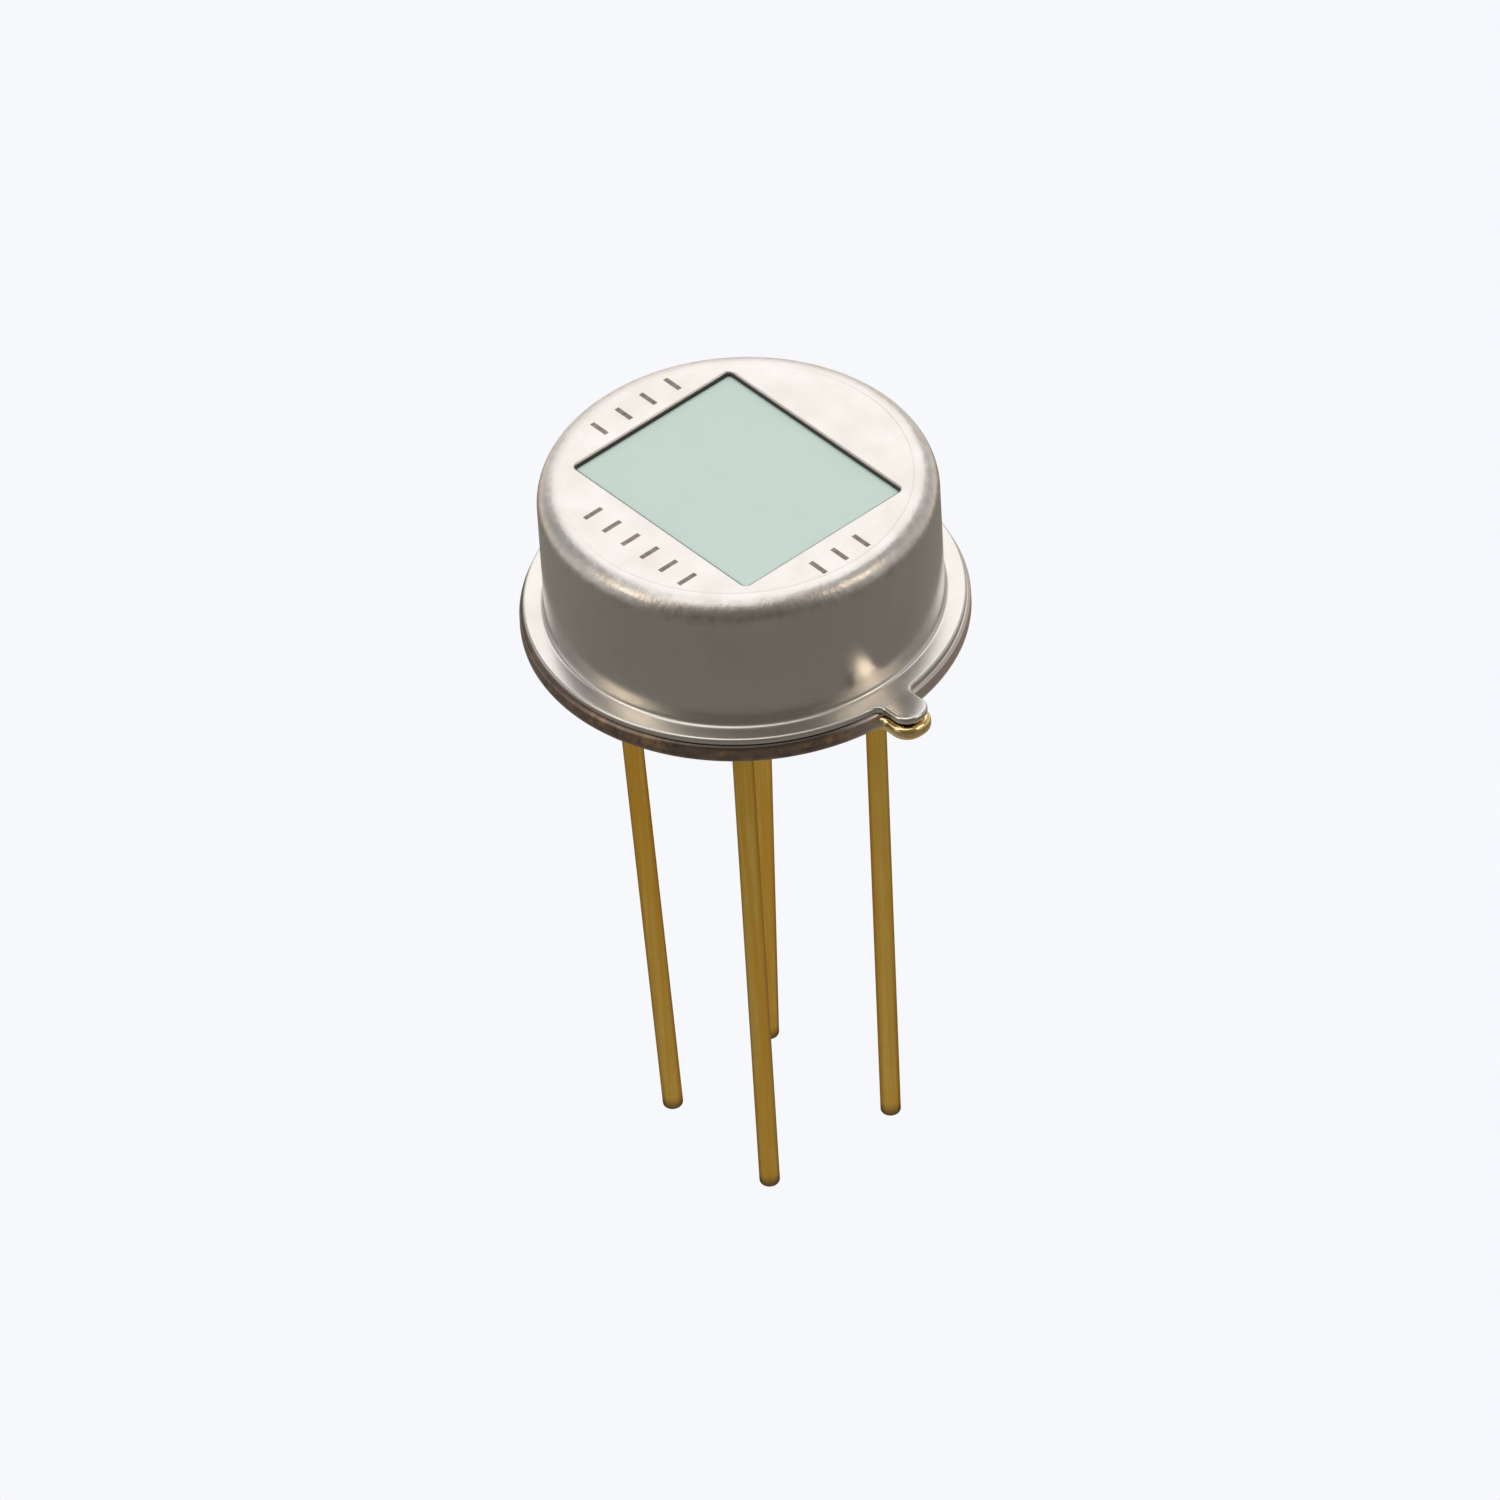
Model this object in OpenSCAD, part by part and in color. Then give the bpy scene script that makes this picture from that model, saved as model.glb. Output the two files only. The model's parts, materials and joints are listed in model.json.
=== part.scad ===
// Silicon photomultiplier in a four-lead metal can with a coated rectangular window.
// Millimetres, +Z up through the window. The origin is the centre of the seating plane,
// which is the underside of the header flange, and the leads hang below it.
// The window's short side lies along X, its long side along Y, and the index tab points to -Y.

/* [Header] */
// Diameter of the header flange
flange_d = 9.2; // [8.4:0.05:10]
// Thickness of the header flange
flange_t = 0.4; // [0.3:0.02:0.5]
// Rounding of the flange's outer edge
flange_edge_r = 0.11; // [0.04:0.01:0.12]
// Height of the inner platform above the flange
platform_h = 0.7; // [0.5:0.05:0.9]
// Radial gap between the platform and the cap's wall
platform_gap = 0.2; // [0.1:0.05:0.4]
// Rounding of the platform's upper edge
platform_edge_r = 0.08; // [0.02:0.01:0.15]

/* [Index tab] */
// Width of the header's tab
tab_w = 0.9; // [0.7:0.05:1.1]
// Thickness of the header's tab, which is pressed thinner than the flange
tab_t = 0.3; // [0.2:0.02:0.3]
// How far the header's tab reaches beyond the flange's rim
tab_len = 0.76; // [0.5:0.02:1]
// How far the cap's tab stands back from the header's tab, at the tip and on each side
tab_step = 0.06; // [0.02:0.01:0.12]
// Rounding of the tab's two outer corners
tab_tip_r = 0.4; // [0.1:0.02:0.44]
// Straight stretch that the rounded corners leave across the tip at least
tip_land = 0.06; // [0.02:0.02:0.2]
// Fillet where the tab leaves the flange
tab_root_r = 0.2; // [0.05:0.01:0.3]

/* [Cap] */
// Width of the brim beyond the cap's barrel
brim_w = 0.44; // [0.32:0.02:0.5]
// Height of the cap from its brim's underside to its crown
cap_h = 3.24; // [3:0.02:3.6]
// Thickness of the cap's sheet
cap_t = 0.15; // [0.12:0.01:0.2]
// Thickness of the crown, which is pressed thinner than the rest of the sheet
crown_t = 0.1; // [0.08:0.01:0.14]
// Outer radius of the shoulder between the crown and the barrel
shoulder_r = 0.48; // [0.3:0.02:0.6]
// Outer radius of the flare between the barrel and the brim
flare_r = 0.1; // [0.06:0.01:0.2]
// How far the header flange stands proud of the brim
brim_setback = 0.08; // [0.06:0.01:0.16]

/* [Window] */
// Short side of the aperture in the crown
aperture_w = 4.26; // [3.6:0.02:4.4]
// Long side of the aperture in the crown
aperture_l = 5.26; // [4.6:0.02:5.4]
// Corner radius of the aperture
aperture_r = 0.12; // [0.06:0.01:0.3]
// How far the window plate laps under the crown on each side
window_lap = 0.15; // [0.1:0.01:0.2]
// Least land on the crown's flat between the aperture's corners and the shoulder
corner_land = 0.1; // [0.05:0.01:0.2]
// Thickness of the window plate
window_t = 0.5; // [0.3:0.05:0.7]
// Thickness of the adhesive between the crown and the window
seal_t = 0.015; // [0.01:0.005:0.05]
// Thickness of the adhesive that climbs the aperture's edge
seal_lining = 0.03; // [0.02:0.005:0.06]
// Depth of that adhesive's rim below the crown's face
seal_drop = 0.03; // [0.01:0.005:0.06]

/* [Leads] */
// Diameter of each lead
lead_d = 0.43; // [0.4:0.01:0.53]
// Length of each lead below the seating plane
lead_len = 13.75; // [10:0.25:20]
// Diameter of the circle that the leads stand on
lead_circle_d = 5.08; // [4.9:0.02:5.3]
// Height of the insulated leads' posts above the platform
lead_post = 0.5; // [0.2:0.05:0.8]
// Rounding of the leads' tips
lead_tip_r = 0.08; // [0.03:0.01:0.15]
// Lean of each lead away from upright, in degrees: anode, cathode, fast output, case
lead_lean = [0.8, 2, 1.8, 1.4]; // [0.6:0.1:3]
// Bearing of each lead's lean about +Z, in degrees from +X
lead_bearing = [165, 180, -30, 50]; // [-180:5:180]
// Straight stretch of each lead, which passes through a circuit board, before it leans
lead_straight = 2.1; // [2.1:0.1:4]
// Swell of each lead at the knee where it starts to lean
knee_swell = 0.005; // [0.004:0.001:0.01]

/* [Seals] */
// Diameter of the glass bead round each insulated lead
bead_d = 1.2; // [0.9:0.05:1.3]

/* [Carrier] */
// Side of the square ceramic carrier
carrier_side = 4.3; // [4:0.05:4.6]
// Thickness of the carrier
carrier_t = 0.4; // [0.25:0.05:0.6]
// Gap between each lead's post and the carrier's corner notch
notch_gap = 0.4; // [0.3:0.05:0.45]
// Thickness of the adhesive under the carrier
carrier_bond_t = 0.04; // [0.02:0.01:0.08]
// How far that adhesive stands in from the carrier's edge
bond_inset = 0.1; // [0.05:0.01:0.2]
// Thickness of the metal lands on the carrier
land_t = 0.03; // [0.02:0.005:0.05]
// Width of each bonding land
land_w = 0.7; // [0.5:0.05:0.9]
// Depth of each bonding land
land_depth = 0.5; // [0.35:0.05:0.55]
// Distance of the bonding lands from the carrier's edge
land_edge = 0.15; // [0.1:0.01:0.2]

/* [Sensor] */
// Side of the square sensor die
die_side = 2.2; // [1.6:0.05:2.3]
// Thickness of the die
die_t = 0.3; // [0.2:0.02:0.45]
// Thickness of the adhesive under the die
die_bond_t = 0.03; // [0.02:0.005:0.05]
// Distance of the die's bonding pads from its edge
pad_inset = 0.18; // [0.12:0.01:0.25]
// Diameter of the bond wires
wire_d = 0.04; // [0.03:0.005:0.05]
// Angle that each bond wire's loop turns through
wire_arc = 150; // [110:5:170]
// Diameter of the flattened foot at each end of a bond wire
foot_d = 0.12; // [0.1:0.01:0.16]
// Height of each foot
foot_h = 0.06; // [0.055:0.005:0.08]
// Spacing of the two wires that stand on one land
wire_pitch = 0.3; // [0.2:0.02:0.34]

/* [Hidden] */
$fn = 96;

// Overshoot that lets a cut pass cleanly through a face
over = 0.1;
// Largest share of a slab's thickness that an edge rounding may take
edge_share = 0.45;
// Distance of the straight stretches of a lead from the middle of its knee
knee_gap = 0.02;

// Levels above the seating plane
platform_z = flange_t + platform_h;
brim_z = flange_t;
crown_z = brim_z + cap_h;
ceiling_z = crown_z - crown_t;
window_top_z = ceiling_z - seal_t;
carrier_z = platform_z + carrier_bond_t;
carrier_top_z = carrier_z + carrier_t;
land_top_z = carrier_top_z + land_t;
die_z = land_top_z + die_bond_t;
die_top_z = die_z + die_t;
post_top_z = platform_z + lead_post;

// Radii of the turned forms
flange_r = flange_d / 2;
tab_reach = flange_r + tab_len;
tab_tip = min(tab_tip_r, (tab_w - tip_land) / 2);
brim_r = flange_r - brim_setback;
barrel_r = brim_r - brim_w;
bore_r = barrel_r - cap_t;
brim_flat_r = barrel_r + flare_r;
platform_r = bore_r - platform_gap;
lead_r = lead_d / 2;
bead_r = bead_d / 2;

// The shoulder's radius is limited by the land that the aperture's corners leave on the crown
corner_reach = norm([aperture_w / 2 - aperture_r, aperture_l / 2 - aperture_r]) + aperture_r;
shoulder = min(shoulder_r, barrel_r - corner_reach - corner_land);
crown_flat_r = barrel_r - shoulder;

// Each contact has a lead, and all but the case have a glass bead, a land and wires
contact_names = ["anode", "cathode", "fast_output", "case"];
lead_angles = [-45, 45, 135, -135];
leads = [0 : 3];
insulated = [0 : 2];
cathode_index = 1;
case_index = 3;
// The cathode's land carries the die, and the other two lands are wired to the die's face
wired_to_die = [0, 2];
function lead_place(i) = lead_circle_d / 2 * [cos(lead_angles[i]), sin(lead_angles[i])];

// Side of the carrier that holds each contact's land, and the way from that land to its lead
contact_turns = [-90, 0, 180];
contact_sides = [1, 1, -1];
land_mid = carrier_side / 2 - land_edge - land_depth / 2;

// Colours of the finishes
nickel = [0.72, 0.70, 0.66];
gold = [0.72, 0.56, 0.20];
coated_glass = [0.79, 0.85, 0.81];
black_adhesive = [0.05, 0.05, 0.05];
seal_glass = [0.16, 0.22, 0.24];
alumina = [0.93, 0.92, 0.88];
silver_adhesive = [0.62, 0.62, 0.60];
silicon = [0.20, 0.22, 0.32];

// Half-section of a disc of radius r and thickness t, its rim rounded above and below
module disc_section(r, t, edge) {
    e = min(edge, edge_share * t);
    square([r - e, t]);
    translate([0, e]) square([r, t - 2 * e]);
    for (z = [e, t - e]) translate([r - e, z]) circle(e);
}

// Half-section of a cylinder of radius r and height h, its upper edge rounded
module post_section(r, h, edge) {
    square([r - edge, h]);
    square([r, h - edge]);
    translate([r - edge, h - edge]) circle(edge);
}

// Rectangle about the origin with rounded corners
module rounded_rectangle(w, l, r) {
    square([w - 2 * r, l], center = true);
    square([w, l - 2 * r], center = true);
    for (x = [-1, 1], y = [-1, 1]) translate([x * (w / 2 - r), y * (l / 2 - r)]) circle(r);
}

// Outline of the index tab on a rim of radius rim, pointing to -Y, with filleted roots
module tab_outline(rim, w, reach, tip_r, root_r) {
    root_x = w / 2 + root_r;
    root_y = sqrt(pow(rim + root_r, 2) - pow(root_x, 2));
    touch_x = root_x * rim / (rim + root_r);
    translate([-w / 2, -reach + tip_r]) square([w, reach - tip_r]);
    translate([-w / 2 + tip_r, -reach]) square([w - 2 * tip_r, reach]);
    for (x = [-1, 1]) translate([x * (w / 2 - tip_r), -reach + tip_r]) circle(tip_r);
    difference() {
        translate([-touch_x, -root_y]) square([2 * touch_x, root_y]);
        for (x = [-1, 1]) translate([x * root_x, -root_y]) circle(root_r);
    }
}

// Half-section of the drawn cap: crown, shoulder, barrel, flare and brim in one sheet
module cap_section() {
    bend = [brim_flat_r, cap_t + flare_r];
    difference() {
        union() {
            post_section(barrel_r, cap_h, shoulder);
            disc_section(brim_r, cap_t, edge_share * cap_t);
            translate([0, cap_t]) square([bend[0], flare_r]);
        }
        translate(bend) circle(flare_r);
        translate([0, -over]) post_section(bore_r, cap_h - crown_t + over, shoulder - cap_t);
        difference() {
            translate([0, -over]) square([bend[0], bend[1] + over]);
            translate(bend) circle(flare_r + cap_t);
        }
    }
}

// One sheet of metal drawn into a cup, with the window's aperture and the tab on its brim
module cap() {
    color(nickel) translate([0, 0, brim_z]) difference() {
        union() {
            rotate_extrude() cap_section();
            linear_extrude(cap_t) difference() {
                tab_outline(brim_r, tab_w - 2 * tab_step, tab_reach - tab_step, tab_tip - tab_step,
                    tab_root_r);
                circle(brim_flat_r);
            }
        }
        translate([0, 0, cap_h - crown_t - over]) linear_extrude(crown_t + 2 * over)
            rounded_rectangle(aperture_w, aperture_l, aperture_r);
    }
}

// Rectangle that laps the aperture on each side and stays on the crown's flat
module window_outline() {
    intersection() {
        square([aperture_w + 2 * window_lap, aperture_l + 2 * window_lap], center = true);
        circle(crown_flat_r);
    }
}

// Coated plate held against the crown from inside
module window() {
    color(coated_glass) translate([0, 0, window_top_z - window_t])
        linear_extrude(window_t) window_outline();
}

// Black adhesive between the window and the crown, with a rim that climbs the aperture's edge
module window_seal() {
    color(black_adhesive) difference() {
        union() {
            translate([0, 0, window_top_z]) linear_extrude(seal_t) window_outline();
            translate([0, 0, window_top_z]) linear_extrude(seal_t + crown_t - seal_drop)
                rounded_rectangle(aperture_w, aperture_l, aperture_r);
        }
        translate([0, 0, window_top_z - over]) linear_extrude(seal_t + crown_t + 2 * over)
            rounded_rectangle(aperture_w - 2 * seal_lining, aperture_l - 2 * seal_lining,
                aperture_r - seal_lining);
    }
}

// Coined metal base: flange with its tab, raised platform and a hole for each lead
module header() {
    color(gold) difference() {
        union() {
            rotate_extrude() {
                disc_section(flange_r, flange_t, flange_edge_r);
                post_section(platform_r, platform_z, platform_edge_r);
            }
            linear_extrude(tab_t) tab_outline(flange_r, tab_w, tab_reach, tab_tip, tab_root_r);
        }
        for (i = leads) translate([lead_place(i)[0], lead_place(i)[1], -over])
            cylinder(h = platform_z + 2 * over, r = i == case_index ? lead_r : bead_r);
    }
}

// Round pin that stands upright in the header, leans from a knee below it and ends in a rounded tip
module lead(i) {
    top = i == case_index ? platform_z : post_top_z;
    color(gold) translate([lead_place(i)[0], lead_place(i)[1], -lead_straight]) {
        translate([0, 0, knee_gap]) cylinder(h = top + lead_straight - knee_gap, r = lead_r);
        sphere(lead_r + knee_swell);
        rotate([0, 180 - lead_lean[i], lead_bearing[i]]) translate([0, 0, knee_gap])
            rotate_extrude() post_section(lead_r, lead_len - lead_straight - knee_gap, lead_tip_r);
    }
}

// Glass bead that insulates a lead from the header
module lead_seal(i) {
    color(seal_glass) translate([lead_place(i)[0], lead_place(i)[1], 0]) difference() {
        cylinder(h = platform_z, r = bead_r);
        translate([0, 0, -over]) cylinder(h = platform_z + 2 * over, r = lead_r);
    }
}

// Square outline with a round-bottomed notch at each corner, open outwards, that clears the leads
module carrier_outline(inset) {
    notch_r = lead_r + notch_gap + inset;
    difference() {
        square(carrier_side - 2 * inset, center = true);
        for (i = leads) translate(lead_place(i)) {
            circle(notch_r);
            rotate(lead_angles[i]) translate([0, -notch_r]) square([carrier_side, 2 * notch_r]);
        }
    }
}

// Adhesive between the platform and the carrier
module carrier_bond() {
    color(silver_adhesive) translate([0, 0, platform_z]) linear_extrude(carrier_bond_t)
        carrier_outline(bond_inset);
}

// Ceramic plate that insulates the sensor from the header
module carrier() {
    color(alumina) translate([0, 0, carrier_z]) linear_extrude(carrier_t) carrier_outline(0);
}

// Bonding land of one contact, on the side of the carrier that the contact turns to
module bonding_land(i) {
    rotate(contact_turns[i]) translate([land_mid - land_depth / 2, -land_w / 2, carrier_top_z])
        cube([land_depth, land_w, land_t]);
}

// Metal land of one contact; the cathode's runs on under the whole die
module land(i) {
    color(gold) {
        bonding_land(i);
        if (i == cathode_index) {
            rotate(contact_turns[i]) translate([0, -land_w / 2, carrier_top_z])
                cube([land_mid, land_w, land_t]);
            translate([-die_side / 2, -die_side / 2, carrier_top_z]) cube([die_side, die_side, land_t]);
        }
    }
}

// Conductive adhesive that fixes the die to the cathode's land
module die_bond() {
    color(silver_adhesive) translate([-die_side / 2, -die_side / 2, land_top_z])
        cube([die_side, die_side, die_bond_t]);
}

// Silicon die with the array of light-sensing cells
module sensor_die() {
    color(silicon) translate([-die_side / 2, -die_side / 2, die_z]) cube([die_side, die_side, die_t]);
}

// Bond wire that arches from one point to another between two flattened feet
module bond_wire(from, to) {
    run = [to[0] - from[0], to[1] - from[1]];
    rise = to[2] - from[2];
    chord = norm(to - from);
    arch_r = chord / (2 * sin(wire_arc / 2));
    color(gold) {
        for (end = [from, to]) translate(end) cylinder(h = foot_h, d = foot_d);
        translate((from + to) / 2 + [0, 0, foot_h / 2]) rotate(atan2(run[1], run[0])) rotate([90, 0, 0])
            rotate(atan2(rise, norm(run))) translate([0, -arch_r * cos(wire_arc / 2)])
            rotate(90 - wire_arc / 2) rotate_extrude(angle = wire_arc) translate([arch_r, 0])
            circle(d = wire_d);
    }
}

// Point on a contact's land, moved sideways from the land's middle
function land_point(i, side) = let (turn = contact_turns[i])
    [land_mid * cos(turn) - side * sin(turn), land_mid * sin(turn) + side * cos(turn), land_top_z];

// Point on the die's face beside a contact's land
function die_point(i) = let (turn = contact_turns[i], r = die_side / 2 - pad_inset)
    [r * cos(turn), r * sin(turn), die_top_z];

// Point on top of a contact's lead
function post_point(i) = [lead_place(i)[0], lead_place(i)[1], post_top_z];

// Wire from the die to a contact's land, on the half of the land away from the lead
module die_wire(i) {
    bond_wire(die_point(i), land_point(i, -contact_sides[i] * wire_pitch / 2));
}

// Wire from a contact's land to its lead
module lead_wire(i) {
    bond_wire(land_point(i, contact_sides[i] * wire_pitch / 2), post_point(i));
}

cap();
window();
window_seal();
header();
for (i = leads) lead(i);
for (i = insulated) lead_seal(i);
carrier_bond();
carrier();
for (i = insulated) land(i);
die_bond();
sensor_die();
for (i = wired_to_die) die_wire(i);
for (i = insulated) lead_wire(i);
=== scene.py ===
import json
import math

import bmesh
import bpy
from mathutils import Matrix, Vector


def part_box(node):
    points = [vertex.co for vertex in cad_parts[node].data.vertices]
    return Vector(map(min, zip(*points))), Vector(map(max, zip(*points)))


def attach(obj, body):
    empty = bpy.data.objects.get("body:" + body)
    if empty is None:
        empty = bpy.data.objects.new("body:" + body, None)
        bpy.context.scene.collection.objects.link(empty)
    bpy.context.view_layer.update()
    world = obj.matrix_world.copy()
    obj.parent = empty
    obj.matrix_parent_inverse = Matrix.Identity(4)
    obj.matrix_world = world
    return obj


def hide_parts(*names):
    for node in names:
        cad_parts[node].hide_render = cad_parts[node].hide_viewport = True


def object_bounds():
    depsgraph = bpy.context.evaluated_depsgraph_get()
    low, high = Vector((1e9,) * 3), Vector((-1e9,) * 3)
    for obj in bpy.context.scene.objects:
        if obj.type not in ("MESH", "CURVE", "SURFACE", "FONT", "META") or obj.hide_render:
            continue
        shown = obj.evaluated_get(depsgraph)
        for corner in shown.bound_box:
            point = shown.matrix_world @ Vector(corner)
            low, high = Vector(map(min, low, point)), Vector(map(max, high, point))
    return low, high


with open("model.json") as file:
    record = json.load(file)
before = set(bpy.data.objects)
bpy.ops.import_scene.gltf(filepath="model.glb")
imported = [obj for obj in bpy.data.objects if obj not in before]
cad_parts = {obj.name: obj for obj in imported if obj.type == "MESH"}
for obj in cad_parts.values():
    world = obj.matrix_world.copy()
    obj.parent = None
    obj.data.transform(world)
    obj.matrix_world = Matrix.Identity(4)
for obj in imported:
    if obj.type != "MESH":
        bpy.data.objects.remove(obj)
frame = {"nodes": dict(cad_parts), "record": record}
cadLow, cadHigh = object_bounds()

mm = 0.001
tiny = 1e-7  # points closer than this are one point
upward = Vector((0, 0, 1))
sideAxis = (0, 1, 0)  # profiles are drawn in the XZ plane, so their arcs turn about this
pieceFinish = {"sharpAngle": 40, "evenWeight": 80, "edgeSteps": 5, "flatCorners": 8}
scene = bpy.context.scene
nodes = frame["nodes"]
mounts = {m["name"]: m for m in frame["record"]["mounts"]}
print("frame loaded:", len(nodes), "nodes")


# outlines are drawn like strokes of a pen: a start, straight runs and arcs
def startAt(bm, x, y, z):
    return bmesh.ops.create_vert(bm, co=(x, y, z))["vert"][0]


def runTo(bm, pen, x, y, z):
    tip = bmesh.ops.extrude_vert_indiv(bm, verts=[pen])["verts"][0]
    tip.co = (x, y, z)
    return tip


def turnBy(bm, pen, centre, axis, degrees, steps):
    arc = bmesh.ops.spin(
        bm, geom=[pen], cent=centre, axis=axis, angle=math.radians(degrees), steps=steps
    )
    return next(g for g in arc["geom_last"] if isinstance(g, bmesh.types.BMVert))


def spinRound(bm, steps, centre=(0, 0, 0)):  # full turn of the loose strokes about an upright axis
    strokes = [g for g in (*bm.verts, *bm.edges) if not g.link_faces]
    bmesh.ops.spin(
        bm, geom=strokes, cent=centre, axis=upward, angle=2 * math.pi, steps=steps, use_merge=True
    )
    bmesh.ops.remove_doubles(bm, verts=bm.verts[:], dist=tiny)


def openRim(bm, z):  # open edges that lie at one height
    return [
        e for e in bm.edges
        if len(e.link_faces) < 2 and all(abs(v.co.z - z) < tiny for v in e.verts)
    ]


def fillFlat(bm, edges):
    bmesh.ops.triangle_fill(bm, use_beauty=True, edges=edges, normal=upward)


def roundLoop(bm, halfX, halfY, corner, z, steps):  # outline of a rectangle with round corners
    size = Matrix.Translation((0, 0, z)) @ Matrix.Diagonal((halfX, halfY, 1, 1))
    verts = bmesh.ops.create_grid(bm, x_segments=1, y_segments=1, size=1, matrix=size)["verts"]
    face = verts[0].link_faces[0]
    if corner > 0:
        bmesh.ops.bevel(
            bm, geom=verts, affect="VERTICES", offset=corner, segments=steps, profile=0.5, material=-1
        )
        face = next(f for f in bm.faces if f.is_valid and len(f.verts) == 4 * (steps + 1))
    edges = face.edges[:]
    bmesh.ops.delete(bm, geom=[face], context="FACES_ONLY")
    return edges


def tabOutline(bm, rim, tab, z, around):  # circle that runs into the index tab
    half, reach, tip = tab["half"], tab["reach"], tab["tip"]
    rootX = half + tab["root"]
    rootY = -math.sqrt((rim + tab["root"]) ** 2 - rootX ** 2)
    sweep = math.degrees(math.atan2(-rootY, rootX))
    touch = Vector((rootX, rootY)).normalized() * rim
    pen = startAt(bm, touch.x, touch.y, z)
    pen = turnBy(bm, pen, (0, 0, z), upward, 180 + 2 * sweep, around)
    pen = turnBy(bm, pen, (-rootX, rootY, z), upward, -sweep, tab["steps"])
    pen = runTo(bm, pen, -half, tip - reach, z)
    pen = turnBy(bm, pen, (tip - half, tip - reach, z), upward, 90, tab["steps"])
    pen = runTo(bm, pen, half - tip, -reach, z)
    pen = turnBy(bm, pen, (half - tip, tip - reach, z), upward, 90, tab["steps"])
    pen = runTo(bm, pen, half, rootY, z)
    turnBy(bm, pen, (rootX, rootY, z), upward, -sweep, tab["steps"])
    bmesh.ops.remove_doubles(bm, verts=bm.verts[:], dist=tiny)


def raisePlate(bm, height, lowerEdge, upperEdge):  # plate from its outline, both edges rounded
    face = bmesh.ops.contextual_create(bm, geom=bm.edges[:])["faces"][0]
    lower = face.edges[:]
    grown = bmesh.ops.extrude_face_region(bm, geom=[face], use_keep_orig=True)["geom"]
    upper = [g for g in grown if isinstance(g, bmesh.types.BMEdge)]
    bmesh.ops.translate(bm, verts=list({v for e in upper for v in e.verts}), vec=upward * height)
    for edges, rounding in ((lower, lowerEdge), (upper, upperEdge)):
        bmesh.ops.bevel(
            bm, geom=edges, affect="EDGES", offset=rounding, segments=pieceFinish["edgeSteps"],
            profile=0.5, material=-1,
        )


def dropFlats(bm):  # opens a plate's two flat sides, the only faces with many corners
    flats = [f for f in bm.faces if len(f.verts) > pieceFinish["flatCorners"]]
    bmesh.ops.delete(bm, geom=flats, context="FACES_ONLY")


def pullFace(bm, face, by, keep=False):  # draws a face out and gives its new place
    grown = bmesh.ops.extrude_face_region(bm, geom=[face], use_keep_orig=True)["geom"]
    drawn = next(g for g in grown if isinstance(g, bmesh.types.BMFace))
    bmesh.ops.translate(bm, verts=drawn.verts[:], vec=by)
    if not keep:  # no wall is left across the inside
        bmesh.ops.delete(bm, geom=[face], context="FACES_ONLY")
    return drawn


def carve(bm, tool, operation):  # joins or cuts two closed shapes
    both = []
    for shape in (bm, tool):
        bmesh.ops.recalc_face_normals(shape, faces=shape.faces[:])
        mesh = bpy.data.meshes.new("shape")
        shape.to_mesh(mesh)
        shape.free()
        both.append(bpy.data.objects.new("shape", mesh))
        scene.collection.objects.link(both[-1])
    change = both[0].modifiers.new("carve", "BOOLEAN")
    change.operation = operation
    change.solver = "EXACT"
    change.object = both[1]
    done = both[0].evaluated_get(bpy.context.evaluated_depsgraph_get())
    result = bmesh.new()
    result.from_mesh(done.to_mesh())
    for shape in both:
        mesh = shape.data
        bpy.data.objects.remove(shape)
        bpy.data.meshes.remove(mesh)
    bmesh.ops.remove_doubles(result, verts=result.verts[:], dist=tiny)
    return result


def bringOut(name, bm, look, slotName, *stoodFor):  # bmesh to a finished piece
    bmesh.ops.recalc_face_normals(bm, faces=bm.faces[:])
    for face in bm.faces:
        face.smooth = True
    mesh = bpy.data.meshes.new(name)
    bm.to_mesh(mesh)
    bm.free()
    mesh.set_sharp_from_angle(angle=math.radians(pieceFinish["sharpAngle"]))
    mesh.materials.append(look)
    piece = bpy.data.objects.new(name, mesh)
    scene.collection.objects.link(piece)
    even = piece.modifiers.new("evenNormals", "WEIGHTED_NORMAL")
    even.mode = "FACE_AREA"
    even.weight = pieceFinish["evenWeight"]
    even.keep_sharp = True
    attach(piece, "root")
    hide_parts(*stoodFor)
    return piece


# node helpers
def putNode(tree, kind, **settings):
    node = tree.nodes.new(kind)
    for key, value in settings.items():
        setattr(node, key, value)
    return node


def doMath(tree, operation, first, second):
    node = putNode(tree, "ShaderNodeMath", operation=operation)
    for socket, value in zip(node.inputs, (first, second)):
        if isinstance(value, (int, float)):
            socket.default_value = value
        else:
            tree.links.new(value, socket)
    return node.outputs[0]


def spread(tree, value, low, high, toLow=0.0, toHigh=1.0, smooth=False):
    node = putNode(tree, "ShaderNodeMapRange")
    if smooth:
        node.interpolation_type = "SMOOTHSTEP"
    tree.links.new(value, node.inputs["Value"])
    node.inputs["From Min"].default_value = low
    node.inputs["From Max"].default_value = high
    node.inputs["To Min"].default_value = toLow
    node.inputs["To Max"].default_value = toHigh
    return node.outputs[0]


def tint(tree, mask, first, second):  # colour between two, by a mask
    node = putNode(tree, "ShaderNodeMix", data_type="RGBA")
    tree.links.new(mask, node.inputs["Factor"])
    for socket, value in ((node.inputs[6], first), (node.inputs[7], second)):
        if isinstance(value, tuple):
            socket.default_value = (*value, 1)
        else:
            tree.links.new(value, socket)
    return node.outputs[2]


def axesOf(tree, vector):
    node = putNode(tree, "ShaderNodeSeparateXYZ")
    tree.links.new(vector, node.inputs[0])
    return node.outputs


def reachOf(tree, vector):  # distance from the upright axis
    flat = putNode(tree, "ShaderNodeVectorMath", operation="MULTIPLY")
    flat.inputs[1].default_value = (1, 1, 0)
    tree.links.new(vector, flat.inputs[0])
    length = putNode(tree, "ShaderNodeVectorMath", operation="LENGTH")
    tree.links.new(flat.outputs[0], length.inputs[0])
    return length.outputs["Value"]


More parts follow.
